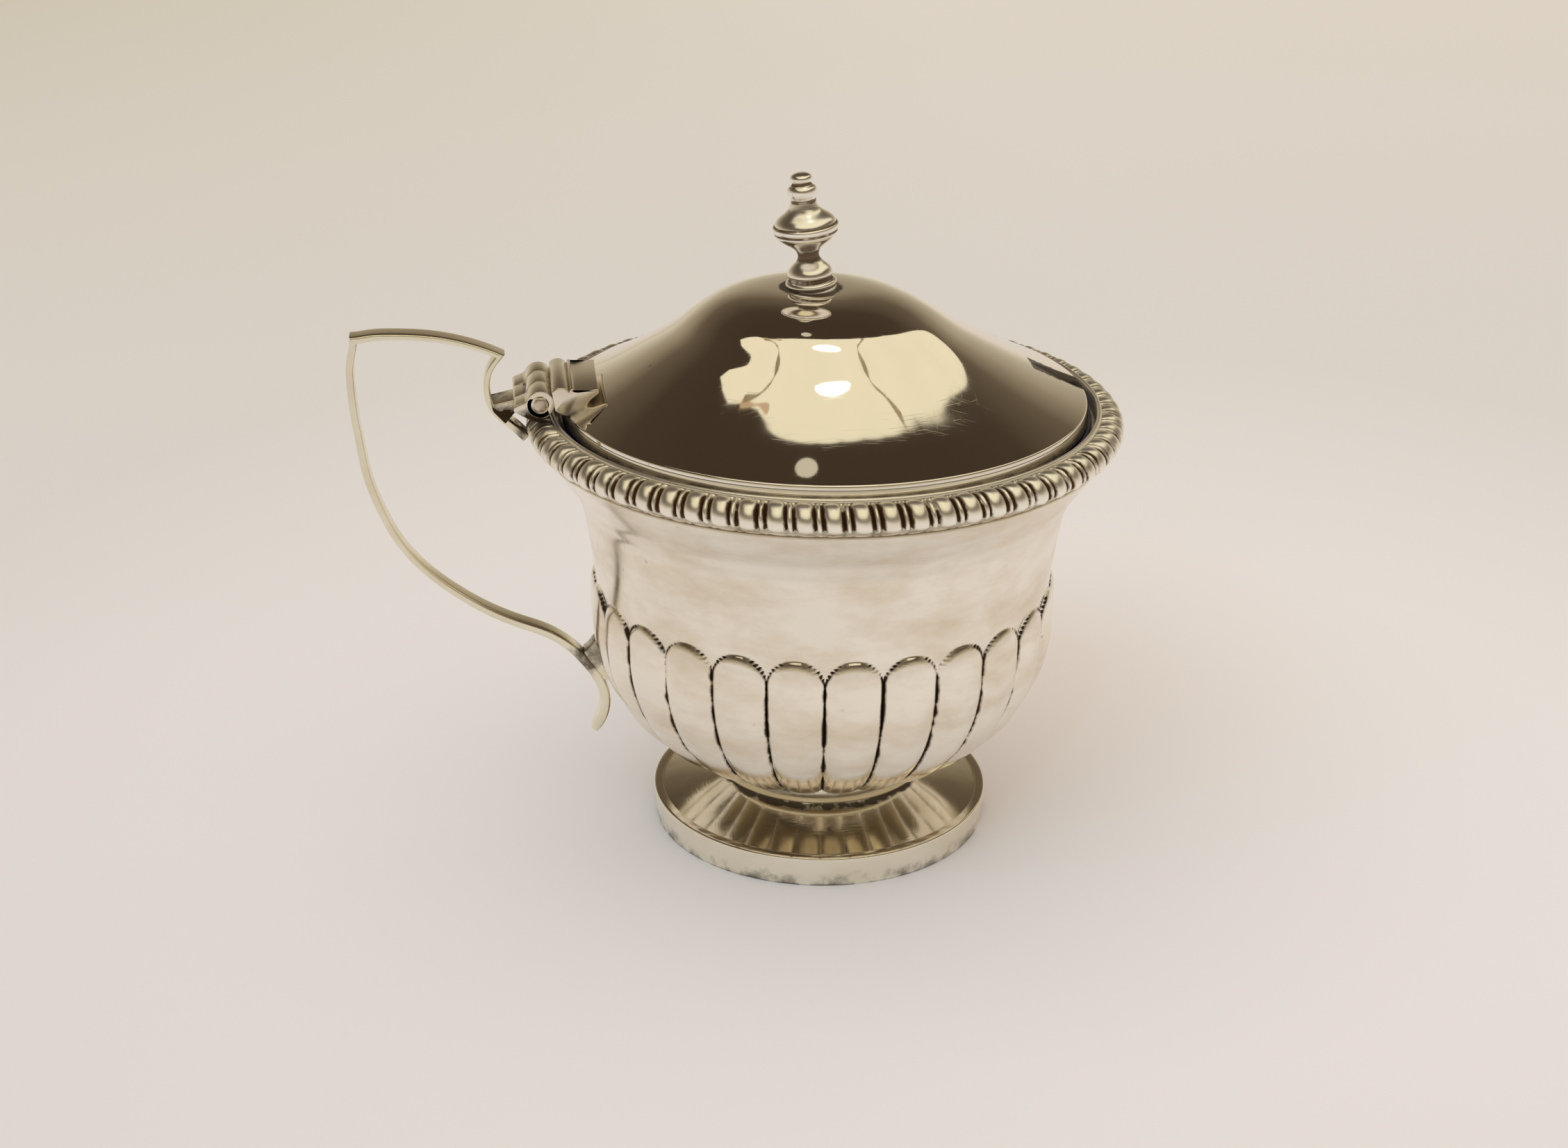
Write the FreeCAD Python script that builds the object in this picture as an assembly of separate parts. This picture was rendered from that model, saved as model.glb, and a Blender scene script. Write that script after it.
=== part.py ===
"""Silver mustard pot with a hinged domed lid, a scroll handle and a glass liner.

Millimetres. The origin is the centre of the foot's base, +Z is up, the handle and the
lid hinge are toward -X and the spoon slot in the lid is toward +X.
"""
import FreeCAD, Part
import math
import os

V = FreeCAD.Vector
UP = V(0, 0, 1)
CENTRE = V(0, 0, 0)

# foot
foot_band_r = 20.1          # outside of the upright band the pot stands on
foot_band_t = 1.1
foot_band_h = 3.7
foot_band_draw = 0.25       # how much smaller the band is at the table
foot_band_soft = 0.3
foot_sheet = 0.8
stem_r = 11.7
stem_z = 6.4                # where the spread foot turns up into the stem
collar_t = 1.0
collar_soft = 0.35
collar_lift = 0.3           # from the stem's turn up to the collar
collar_lap = 0.6            # how far the collar reaches up past the bowl's base
bowl_base_z = 8.9           # underside of the bowl, top of the stem
foot_band_in = foot_band_r - foot_band_t
foot_edge_top = foot_band_h - 0.2
foot_spread = [(0.9, -0.9), (3.5, -1.9)]     # out from the stem and below its turn

# bowl
wall = 0.9
lobe_arc_x = 8.0            # centre and radius of the lower bowl's arc
lobe_arc_z = 27.0
lobe_arc_r = 18.4
neck_top_z = 48.9
neck_low = (0.3, 6.0)       # out from the belly and above it
neck_flare = [(4.5, 7.7), (2.3, 3.7)]        # in from the lip and below it
lobes = 26
groove_r = 0.62             # round-bottomed grooves between the lobes
groove_out = 0.28           # groove centre line outside the bowl's surface
groove_rise = 4.5           # degrees the grooves run above the arc's centre
groove_fall = 74.0          # degrees they run below it
belly_r = lobe_arc_x + lobe_arc_r

# glass liner: its flange sets the width of the seat, the border and the lid
glass_t = 1.6
glass_flange_r = 30.3
glass_flange_t = 1.0
glass_flange_lap = 1.6      # flange outside the glass neck
glass_soft = 0.2
glass_gap = 0.5             # between glass and bowl
glass_lift = 2.9            # underside of the glass above the bowl's outer base
glass_neck_r = glass_flange_r - glass_flange_lap
glass_base_z = bowl_base_z + glass_lift

# border at the rim
flange_play = 0.5
rim_wire_w = 0.6
rim_wire_h = 0.35
rim_wire_soft = 0.12
gadroon_row = 2.6           # width of the row of gadroons
gadroon_round = 1.75        # radius of the row's rounded section
gadroons = 70
gadroon_cut_r = 0.33
gadroon_cut_depth = 0.42
gadroon_cut_arc = 140.0     # degrees each cut runs round the section
gadroon_cut_lead = 22.0     # degrees it starts inside the top
border_h = 2.7
lip_set_in = 1.4            # bowl's lip inside the border's outside
lip_gap = 0.4
seat_t = 0.8
seat_drop = 1.7             # liner's ledge below the top of the border
seat_play = 0.7
border_in = glass_flange_r + flange_play
rim_wire_out = border_in + rim_wire_w
border_r = rim_wire_out + gadroon_row
border_low_z = neck_top_z + lip_gap
border_top_z = border_low_z + border_h
seat_z = border_top_z - seat_drop
seat_in = glass_neck_r + seat_play
neck_top_r = border_r - lip_set_in

# lid
lid_gap = 1.1               # round the lid, inside the border
lid_edge_up = 1.1           # lid's edge above the border
lid_edge_t = 0.5
lid_sheet = 0.8
lid_rise = 12.4             # crown above the lid's edge
lid_lean = 1.7              # the dome leans this far toward the hinge, as in the photo
lid_brim = [(3.5, 1.8), (7.2, 3.5)]          # in from the edge and above it
lid_dome = [(16.4, 5.2), (14.4, 3.6), (12.3, 2.0), (9.4, 0.8), (5.5, 0.15)]    # below the crown
lid_flat = 3.0              # level spot at the crown for the finial
bezel_w = 1.7
bezel_draw = 0.25
bezel_set = 0.1
lid_rest = 0.15             # gap between the shut lid and the liner's flange
slot_long = 5.5             # from the lid's edge in to the slot's tip
slot_half = 1.95
slot_wide_at = 0.73         # share of its length where the slot is at its full width
slot_waist = (0.3, 0.64)    # share of its length and of its width near the tip
lid_edge_slope = (-0.88, 0.47)               # direction in which the lid leaves its edge
lid_edge_r = border_in - lid_gap
lid_edge_z = border_top_z + lid_edge_up
lid_top_z = lid_edge_z + lid_rise
bezel_in = lid_edge_r - bezel_w

# hinge: outlines are given as (x, z) from the pin's centre
pin_in = 1.65               # pin's centre inside the border's outside
pin_up = 2.45               # and above its top
knuckle_r = 1.55
pin_r = 0.9
pin_play = 0.05
knuckle_gap = 0.15          # round and between the two leaves' knuckles
hinge_half = 5.3
mid_half = 1.8              # half the length of the lid's knuckle
ridge_r = 1.2
ridge_at = (2.25, 0.7)
lid_leaf_block = [(1.3, -0.5), (4.05, -2.4), (6.4, -0.4), (6.4, 1.65), (3.55, 1.65),
                  (3.2, 1.35), (1.5, 1.35)]
pot_leaf_block = [(0.0, -1.9), (0.95, -1.25), (0.5, 0.9), (-1.2, 0.85), (-1.65, 0.4),
                  (-2.9, -0.1), (-3.0, -0.75), (-1.0, -1.75)]
pot_leaf_web = [(-2.3, -0.5), (-3.0, -0.5), (-5.4, -1.05), (-5.2, -1.85), (-3.9, -3.3),
                (-2.5, -1.6)]
web_half = 2.0              # half width of the web from the hinge to the handle
pin_x = pin_in - border_r
pin_z = border_top_z + pin_up

# handle: (out, up, thickness) along its middle
strap_thumb_half = 1.35     # half width at the thumb end
strap_corner_half = 1.3     # half width at the outer corner
strap_low_half = 1.2        # half width of the lower sweep
strap_split = 21.0          # the lower sweep starts this far above the belly
grip_out = 19.8             # the outer corner, out from the border
grip_thumb = 2.6            # the inner end of the bar, out from the border
# out from the border and up from its top
bar_points = [(2.6, 6.8, 0.7), (5.4, 7.95, 0.7), (8.5, 8.8, 0.7), (11.5, 9.25, 0.7),
              (14.5, 9.4, 0.75), (17.0, 9.3, 0.85), (18.7, 9.1, 0.95)]
thumb_points = [(2.8, 6.8, 0.7), (3.7, 5.3, 0.75), (4.15, 3.6, 0.75), (4.1, 2.2, 0.75),
                (3.6, 0.7, 0.8), (2.8, -0.3, 0.9), (1.3, -1.6, 1.0), (0.0, -2.9, 1.0)]
sweep_high = [(18.5, 9.1, 0.95), (18.95, 6.7, 0.9), (19.1, 3.6, 0.9), (18.9, 0.3, 0.9),
              (18.5, -3.0, 0.95)]
# out from the belly and up from its widest point
sweep_low = [(25.6, 18.4, 1.0), (24.4, 14.3, 1.0), (22.5, 10.1, 1.0), (19.9, 6.6, 0.95),
             (16.4, 3.45, 0.9), (12.6, 0.85, 0.85), (9.0, -0.95, 0.85), (5.9, -2.3, 0.9),
             (3.3, -4.2, 1.05), (1.4, -6.4, 1.2), (-0.1, -8.9, 1.3), (-0.6, -11.1, 1.3),
             (-0.2, -13.4, 1.2), (0.7, -15.1, 0.95)]
pad_outline = [(1.9, -4.6), (0.5, -3.2), (-2.0, -3.4), (-2.5, -8.4), (-0.1, -8.6)]

# finial: radius and height above the lid's crown
finial_lean = 6.0           # degrees toward the hinge, as in the photo
finial_base_r = 2.8
finial_base_h = 0.35
finial_low = [(2.85, 0.65), (2.25, 1.25), (2.45, 1.95), (1.85, 2.8), (1.2, 3.65), (1.7, 4.7),
              (2.7, 5.5), (3.5, 6.3)]
finial_disc = [(3.7, 6.6), (3.7, 7.3)]
finial_high = [(3.45, 7.7), (2.5, 8.5), (1.6, 9.3), (1.4, 10.1), (1.6, 11.0), (1.1, 11.85),
               (1.2, 12.4)]
finial_top = 13.1


def spun(edges):
    """Turn a closed outline in the XZ plane, given as edges, all the way round Z."""
    face = Part.Face(Part.Wire(Part.__sortEdges__(edges)))
    return face.revolve(CENTRE, UP, 360)


def at(x, z):
    """A point in the XZ plane."""
    return V(x, 0, z)


def line(a, b):
    """A straight edge between two (x, z) points."""
    return Part.makeLine(at(*a), at(*b))


def lines(points):
    """Straight edges through a list of (x, z) points."""
    return [line(a, b) for a, b in zip(points, points[1:])]


def curve(points):
    """A smooth edge through a list of (x, z) points."""
    c = Part.BSplineCurve()
    c.interpolate([at(*p[:2]) for p in points])
    return c.toShape()


def arc(a, b, c):
    """A round edge from a to c through b."""
    return Part.Arc(at(*a), at(*b), at(*c)).toShape()


def moved_in(points, distance):
    """The same outline points moved toward the axis side by a wall thickness."""
    out = []
    for i, (x, z) in enumerate(points):
        ax, az = points[max(i - 1, 0)]
        bx, bz = points[min(i + 1, len(points) - 1)]
        length = math.hypot(bx - ax, bz - az)
        out.append((x - distance * (bz - az) / length, z + distance * (bx - ax) / length))
    return out


def bowl_arc_point(radius, degrees):
    """A point on the lower bowl's arc; 0 degrees is level with its centre."""
    a = math.radians(degrees)
    return lobe_arc_x + radius * math.cos(a), lobe_arc_z - radius * math.sin(a)


def lower_arc(radius, floor_z):
    """The lower bowl's arc from a floor up to its widest point, and its two ends."""
    low = math.degrees(math.asin((lobe_arc_z - floor_z) / radius))
    start = bowl_arc_point(radius, low)
    end = bowl_arc_point(radius, 0)
    return arc(start, bowl_arc_point(radius, low / 2), end), start, end


def neck_line():
    """The neck's outside from the belly to the lip."""
    points = [(belly_r, lobe_arc_z), (belly_r + neck_low[0], lobe_arc_z + neck_low[1])]
    points += [(neck_top_r - x, neck_top_z - z) for x, z in neck_flare]
    return points + [(neck_top_r, neck_top_z)]


def bowl_solid(inset):
    """The bowl as a filled shape, its surface moved in by inset."""
    floor_z = bowl_base_z + inset
    low, start, end = lower_arc(lobe_arc_r - inset, floor_z)
    neck = neck_line()
    if inset:
        neck = [end] + moved_in(neck, inset)[1:-1] + [(neck_top_r - inset, neck_top_z)]
    top = neck[-1]
    edges = [line((0, floor_z), start), low, curve(neck)]
    edges += lines([top, (0, top[1]), (0, floor_z)])
    return spun(edges)


def groove_tool(azimuth):
    """One groove between two lobes: a round bar bent along the lower bowl's arc."""
    radius = lobe_arc_r + groove_out
    x, z = bowl_arc_point(radius, -groove_rise)
    out = V(x - lobe_arc_x, 0, z - lobe_arc_z)
    along = out.cross(V(0, 1, 0))
    disc = Part.Face(Part.Wire(Part.makeCircle(groove_r, at(x, z), along)))
    bar = disc.revolve(at(lobe_arc_x, lobe_arc_z), V(0, 1, 0), groove_rise + groove_fall)
    bar = bar.fuse(Part.makeSphere(groove_r, at(x, z)))
    bar.rotate(CENTRE, UP, azimuth)
    return bar


def make_bowl():
    """The raised cup with its lobed lower half."""
    cup = bowl_solid(0).cut(bowl_solid(wall))
    tools = [groove_tool(i * 360 / lobes) for i in range(lobes)]
    return cup.cut(Part.makeCompound(tools))


def border_outline():
    """The border's section: rounded outside, level inner ledge for the liner."""
    foot = (neck_top_r + 0.2, border_low_z)
    centre = (border_r - gadroon_round, border_top_z - gadroon_round)
    drop = centre[1] - border_low_z
    low = (centre[0] + math.sqrt(gadroon_round ** 2 - drop ** 2), border_low_z)
    high = (centre[0], border_top_z)
    edges = [line(foot, low), arc(low, (border_r, centre[1]), high)]
    edges += lines([high, (border_in, border_top_z),
                    (border_in, seat_z), (seat_in, seat_z), (seat_in, seat_z - seat_t),
                    (neck_top_r - wall, seat_z - seat_t), (neck_top_r - wall, neck_top_z),
                    (neck_top_r, neck_top_z), foot])
    return edges


def gadroon_tool(azimuth):
    """One cut between two gadroons, a short bar bent round the border's section."""
    centre = at(border_r - gadroon_round, border_top_z - gadroon_round)
    reach = gadroon_round + gadroon_cut_r - gadroon_cut_depth
    disc = Part.Face(Part.Wire(Part.makeCircle(gadroon_cut_r, centre + UP * reach, V(1, 0, 0))))
    disc.rotate(centre, V(0, 1, 0), -gadroon_cut_lead)
    bar = disc.revolve(centre, V(0, 1, 0), gadroon_cut_arc)
    bar.rotate(CENTRE, UP, azimuth)
    return bar


def make_border():
    """The cast border with its row of gadroons."""
    tools = [gadroon_tool((i + 0.5) * 360 / gadroons) for i in range(gadroons)]
    return spun(border_outline()).cut(Part.makeCompound(tools))


def make_rim_wire():
    """The plain wire soldered on the border's inner edge."""
    top = border_top_z + rim_wire_h
    soft = rim_wire_soft
    outline = [(border_in, border_top_z), (border_in, top - soft), (border_in + soft, top),
               (rim_wire_out - soft, top), (rim_wire_out, top - soft),
               (rim_wire_out, border_top_z), (border_in, border_top_z)]
    return spun(lines(outline))


def make_foot_band():
    """The upright band the pot stands on."""
    foot_r = foot_band_r - foot_band_draw
    soft = foot_band_soft
    outline = [(foot_band_in, 0), (foot_r, 0), (foot_band_r, foot_band_h - soft),
               (foot_band_r - soft, foot_band_h), (foot_band_in, foot_band_h),
               (foot_band_in, 0)]
    return spun(lines(outline))


def make_foot():
    """The spun foot: an upright stem that turns out into a shallow hollow spread."""
    top = foot_edge_top
    stem_in = stem_r - foot_sheet
    spread = [(stem_r + x, stem_z + z) for x, z in foot_spread]
    outer = [(stem_r, stem_z)] + spread + [(foot_band_in, top)]
    inner = [(foot_band_in, top - foot_sheet)] + moved_in(outer, -foot_sheet)[2:0:-1]
    inner += [(stem_in, stem_z)]
    edges = [line((stem_r, bowl_base_z), outer[0]), curve(outer)]
    edges += [line(outer[-1], inner[0]), curve(inner)]
    edges += lines([inner[-1], (stem_in, bowl_base_z), (stem_r, bowl_base_z)])
    return spun(edges)


def make_collar():
    """The ring round the stem that covers the joint between bowl and foot."""
    low = stem_z + collar_lift
    top = bowl_base_z + collar_lap
    out = stem_r + collar_t
    outline = [(stem_r, low), (out - collar_soft, low), (out, low + collar_soft), (out, top),
               (stem_r, top), (stem_r, low)]
    return spun(lines(outline)).cut(bowl_solid(0))


def glass_side(inset):
    """The glass cup's side between the lower arc and the neck, inset from the bowl."""
    neck = neck_line()
    neck_r = glass_neck_r - inset + wall + glass_gap
    return [(neck[1][0] - inset, neck[1][1]), (neck[2][0] - inset - wall, neck[2][1]),
            (neck_r, seat_z - glass_flange_t)]


def make_liner():
    """The blue glass cup inside, hanging by its flange on the border's ledge."""
    gap = wall + glass_gap
    low, start, end = lower_arc(lobe_arc_r - gap, glass_base_z)
    low_in, start_in, end_in = lower_arc(lobe_arc_r - gap - glass_t, glass_base_z + glass_t)
    outer = [end] + glass_side(gap)
    inner = [end_in] + glass_side(gap + glass_t)
    top = seat_z + glass_flange_t
    out = glass_flange_r
    edges = [line((0, glass_base_z), start), low, curve(outer)]
    edges += lines([outer[-1], (glass_neck_r, seat_z), (out, seat_z), (out, top - glass_soft),
                    (out - glass_soft, top), (inner[-1][0], top), inner[-1]])
    edges += [curve(inner), low_in]
    edges += lines([start_in, (0, start_in[1]), (0, glass_base_z)])
    return spun(edges)


def lid_outline():
    """The lid's outside from its edge to the crown, as one smooth edge, and its points."""
    points = [(lid_edge_r, lid_edge_z)]
    points += [(lid_edge_r - x, lid_edge_z + z) for x, z in lid_brim]
    points += [(x, lid_top_z - z) for x, z in lid_dome] + [(lid_flat, lid_top_z)]
    c = Part.BSplineCurve()
    c.interpolate([at(*p) for p in points], InitialTangent=at(*lid_edge_slope),
                  FinalTangent=V(-1, 0, 0))
    return c.toShape(), points


def leaned(shape):
    """The same shape leaning toward the hinge, more and more above the lid's edge."""
    slope = lid_lean / lid_rise
    return shape.transformGeometry(FreeCAD.Matrix(1, 0, -slope, slope * lid_edge_z,
                                                  0, 1, 0, 0, 0, 0, 1, 0, 0, 0, 0, 1))


def lid_solid():
    """The lid filled in underneath, used to trim what sits on it."""
    top, points = lid_outline()
    edges = [top] + lines([points[-1], (0, lid_top_z), (0, seat_z), (lid_edge_r, seat_z),
                           (lid_edge_r, lid_edge_z)])
    return leaned(spun(edges))


def slot_tool():
    """The pointed leaf-shaped slot for the spoon, open at the lid's edge."""
    tip = lid_edge_r - slot_long
    wide = tip + slot_long * slot_wide_at
    near = tip + slot_long * slot_waist[0]
    end = lid_edge_r + slot_half
    sides = []
    for s in (slot_half, -slot_half):
        c = Part.BSplineCurve()
        c.interpolate([V(tip, 0, 0), V(near, s * slot_waist[1], 0), V(wide, s, 0),
                       V(end, s, 0)])
        sides.append(c.toShape())
    edge = Part.makeLine(V(end, slot_half, 0), V(end, -slot_half, 0))
    face = Part.Face(Part.Wire(Part.__sortEdges__(sides + [edge])))
    face.translate(UP * (seat_z + glass_flange_t))
    return face.extrude(UP * lid_rise)


def make_lid():
    """The raised lid: a sloping brim that sweeps up to a dome, with the spoon slot."""
    top, points = lid_outline()
    under = moved_in(points, lid_sheet)
    low = lid_edge_z - lid_edge_t
    crown = (0, lid_top_z - lid_sheet)
    inner = [(bezel_in, low)] + under[2:-1] + [crown]
    edges = [top] + lines([points[-1], (0, lid_top_z), crown]) + [curve(inner)]
    edges += lines([(bezel_in, low), (lid_edge_r, low), (lid_edge_r, lid_edge_z)])
    return leaned(spun(edges)).cut(slot_tool())


def bezel_ring():
    """The full ring under the lid's edge before the slot is cut."""
    top = lid_edge_z - lid_edge_t
    low = seat_z + glass_flange_t + lid_rest
    out = lid_edge_r - bezel_set
    return spun(lines([(bezel_in, top), (out, top), (lid_edge_r - bezel_draw, low),
                       (bezel_in, low), (bezel_in, top)]))


def make_bezel():
    """The stiffening band soldered under the lid's edge."""
    return bezel_ring().cut(slot_tool())


def bar_along_y(r, y0, y1):
    """A round bar on the hinge's centre line."""
    return Part.makeCylinder(r, y1 - y0, V(pin_x, y0, pin_z), V(0, 1, 0))


def prism(points, half):
    """A flat shape, given round the pin's centre, made 2 * half wide about y = 0."""
    face = Part.Face(Part.makePolygon([at(pin_x + x, pin_z + z) for x, z in points + points[:1]]))
    face.translate(V(0, -half, 0))
    return face.extrude(V(0, 2 * half, 0))


def side_spans():
    """The two stretches of the hinge that hold the pot's knuckles."""
    inner = mid_half + knuckle_gap
    return [(-hinge_half, -inner), (inner, hinge_half)]


def make_lid_leaf():
    """The lid's half of the hinge: a moulded block with the middle knuckle."""
    x, z = ridge_at
    bead = Part.makeCylinder(ridge_r, 2 * hinge_half, V(pin_x + x, -hinge_half, pin_z + z),
                             V(0, 1, 0))
    leaf = prism(lid_leaf_block, hinge_half).fuse(bead)
    leaf = leaf.cut(lid_solid()).cut(bezel_ring())
    clear = knuckle_r + knuckle_gap
    for y0, y1 in side_spans():
        leaf = leaf.cut(bar_along_y(clear, y0 - knuckle_gap, y1 + knuckle_gap))
    leaf = leaf.fuse(bar_along_y(knuckle_r, -mid_half, mid_half))
    leaf = leaf.cut(bar_along_y(pin_r + pin_play, -hinge_half, hinge_half))
    return leaf.removeSplitter()


def make_pot_leaf():
    """The pot's half of the hinge: two knuckles, a moulded block and a web to the handle."""
    leaf = prism(pot_leaf_block, hinge_half).fuse(prism(pot_leaf_web, web_half))
    leaf = leaf.cut(bar_along_y(knuckle_r + knuckle_gap, -mid_half - knuckle_gap,
                                mid_half + knuckle_gap))
    for y0, y1 in side_spans():
        leaf = leaf.fuse(bar_along_y(knuckle_r, y0, y1))
    leaf = leaf.cut(bar_along_y(pin_r, -hinge_half, hinge_half))
    return leaf.cut(handle_solid()).removeSplitter()


def make_pin():
    """The hinge pin, tight in the pot's knuckles and free in the lid's."""
    return bar_along_y(pin_r, -hinge_half, hinge_half)


def strap(points):
    """A bent strip in the XZ plane from (x, z, thickness) points along its middle."""
    one = []
    two = []
    for i, (x, z, t) in enumerate(points):
        ax, az = points[max(i - 1, 0)][:2]
        bx, bz = points[min(i + 1, len(points) - 1)][:2]
        length = math.hypot(bx - ax, bz - az)
        nx = -(bz - az) / length * t / 2
        nz = (bx - ax) / length * t / 2
        one.append((x + nx, z + nz))
        two.append((x - nx, z - nz))
    edges = [curve(one), line(one[-1], two[-1]), curve(two), line(two[0], one[0])]
    face = Part.Face(Part.Wire(Part.__sortEdges__(edges)))
    face.translate(V(0, -strap_thumb_half, 0))
    return face.extrude(V(0, 2 * strap_thumb_half, 0))


def strap_plan():
    """The room the handle may fill: it narrows from the thumb end to the lower sweep."""
    corner = -border_r - grip_out
    thumb = -border_r - grip_thumb
    split = lobe_arc_z + strap_split
    upper = [V(thumb, strap_thumb_half, 0), V(corner, strap_corner_half, 0),
             V(corner, -strap_corner_half, 0), V(thumb, -strap_thumb_half, 0),
             V(0, -strap_thumb_half, 0), V(0, strap_thumb_half, 0)]
    face = Part.Face(Part.makePolygon(upper + upper[:1]))
    face.translate(UP * (split - strap_low_half))
    upper_room = face.extrude(UP * lid_top_z)
    lower_room = Part.makeBox(-corner, 2 * strap_low_half, split, V(corner, -strap_low_half, 0))
    return upper_room.fuse(lower_room)


def placed(points, out_from, up_from):
    """Handle points as (x, z, thickness), from distances out of and above two sizes."""
    return [(-out_from - out, up_from + up, t) for out, up, t in points]


def handle_solid():
    """The whole handle, with the pad that joins it to the bowl, before it is trimmed."""
    bar = strap(placed(bar_points, border_r, border_top_z))
    thumb = strap(placed(thumb_points, border_r, border_top_z))
    sweep = placed(sweep_high, border_r, border_top_z) + placed(sweep_low, belly_r, lobe_arc_z)
    pad = [at(-belly_r - out, lobe_arc_z + up) for out, up in pad_outline]
    face = Part.Face(Part.makePolygon(pad + pad[:1]))
    face.translate(V(0, -strap_low_half, 0))
    return bar.fuse([thumb, strap(sweep), face.extrude(V(0, 2 * strap_low_half, 0))])


def make_handle():
    """The flat strap handle, trimmed where it meets the border and the bowl."""
    body = handle_solid().common(strap_plan())
    return body.cut(spun(border_outline())).cut(bowl_solid(0)).removeSplitter()


def round_end(start, top):
    """A ball-shaped end: an arc centred on the axis from start up to the axis at top."""
    r, z = start
    centre = (top * top - r * r - z * z) / (2 * (top - z))
    radius = top - centre
    half = math.atan2(r, z - centre) / 2
    return arc(start, (radius * math.sin(half), centre + radius * math.cos(half)), (0, top))


def make_finial():
    """The turned baluster finial, leaning a little and bedded on the crown."""
    lower = [(finial_base_r, finial_base_h)] + finial_low
    upper = [finial_disc[1]] + finial_high
    sunk = -finial_base_h
    edges = [line((0, sunk), (finial_base_r, sunk)), line((finial_base_r, sunk), lower[0])]
    edges += [curve(lower)] + lines([lower[-1]] + finial_disc)
    edges += [curve(upper), round_end(upper[-1], finial_top), line((0, finial_top), (0, sunk))]
    turned = spun(edges)
    turned.rotate(CENTRE, V(0, 1, 0), -finial_lean)
    turned.translate(V(-lid_lean, 0, lid_top_z))
    size = 4 * finial_base_r
    below = Part.makeBox(size, size, size, V(-lid_lean - size / 2, -size / 2, lid_top_z - size))
    return turned.cut(below)


PIECES = {
    "bowl": make_bowl,
    "gadroon_border": make_border,
    "rim_wire": make_rim_wire,
    "foot_collar": make_collar,
    "foot": make_foot,
    "foot_band": make_foot_band,
    "handle": make_handle,
    "hinge_leaf_pot": make_pot_leaf,
    "hinge_pin": make_pin,
    "glass_liner": make_liner,
    "lid": make_lid,
    "lid_bezel": make_bezel,
    "hinge_leaf_lid": make_lid_leaf,
    "finial": make_finial,
}

os.makedirs("parts", exist_ok=True)
for name, make in PIECES.items():
    shape = make()
    if len(shape.Solids) == 1:
        shape = shape.Solids[0]
    print(name, len(shape.Solids), "solid, valid", shape.isValid(), "volume", round(shape.Volume, 1))
    shape.exportStep("parts/" + name + ".step")
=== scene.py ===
import math

import bpy
import numpy as np
from mathutils import Matrix, Vector


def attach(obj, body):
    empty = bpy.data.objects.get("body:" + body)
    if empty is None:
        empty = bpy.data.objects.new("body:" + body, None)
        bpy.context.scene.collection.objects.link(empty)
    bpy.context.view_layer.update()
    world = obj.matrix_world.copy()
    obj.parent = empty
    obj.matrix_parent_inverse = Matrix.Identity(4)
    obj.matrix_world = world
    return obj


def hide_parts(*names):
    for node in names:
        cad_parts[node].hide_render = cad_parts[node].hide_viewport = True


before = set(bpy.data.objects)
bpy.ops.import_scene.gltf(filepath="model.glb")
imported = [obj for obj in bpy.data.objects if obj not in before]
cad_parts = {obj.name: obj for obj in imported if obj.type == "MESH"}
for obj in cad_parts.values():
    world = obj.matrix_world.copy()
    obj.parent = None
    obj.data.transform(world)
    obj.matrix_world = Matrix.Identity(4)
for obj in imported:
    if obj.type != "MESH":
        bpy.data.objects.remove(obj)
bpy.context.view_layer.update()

MM = 0.001


# Outlines: rows of (radius, height) or (x, z) points, in mm

def spline(points, count, first=None, last=None):
    """A smooth line of count points through points: the cubic whose slope and bend both run
    on through every given point, set out by the distance between them. first and last are
    directions at the ends; where they are left out the line runs out straight."""
    p = np.asarray(points, float)
    gap = np.linalg.norm(np.diff(p, axis=0), axis=1)
    t = np.concatenate([[0], np.cumsum(gap)])
    n = len(p)
    a = np.zeros((n, n))
    b = np.zeros((n, p.shape[1]))
    for i in range(1, n - 1):
        a[i, i - 1] = 1 / gap[i - 1]
        a[i, i] = 2 * (1 / gap[i - 1] + 1 / gap[i])
        a[i, i + 1] = 1 / gap[i]
        b[i] = 3 * ((p[i] - p[i - 1]) / gap[i - 1] ** 2 + (p[i + 1] - p[i]) / gap[i] ** 2)
    if first is None:
        a[0, 0], a[0, 1], b[0] = 2, 1, 3 * (p[1] - p[0]) / gap[0]
    else:
        a[0, 0], b[0] = 1, np.asarray(first, float) / np.linalg.norm(first)
    if last is None:
        a[-1, -1], a[-1, -2], b[-1] = 2, 1, 3 * (p[-1] - p[-2]) / gap[-1]
    else:
        a[-1, -1], b[-1] = 1, np.asarray(last, float) / np.linalg.norm(last)
    slope = np.linalg.solve(a, b)
    s = np.linspace(0, t[-1], count)
    k = np.clip(np.searchsorted(t, s, side="right") - 1, 0, n - 2)
    h = gap[k][:, None]
    u = ((s - t[k]) / gap[k])[:, None]
    return ((2 * u ** 3 - 3 * u ** 2 + 1) * p[k] + (u ** 3 - 2 * u ** 2 + u) * h * slope[k]
            + (3 * u ** 2 - 2 * u ** 3) * p[k + 1] + (u ** 3 - u ** 2) * h * slope[k + 1])


def arc(centre, radius, start, stop, count):
    """Points on a circle about centre, from start to stop degrees."""
    a = np.radians(np.linspace(start, stop, count))
    return np.stack([centre[0] + radius * np.cos(a), centre[1] + radius * np.sin(a)], 1)


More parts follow.
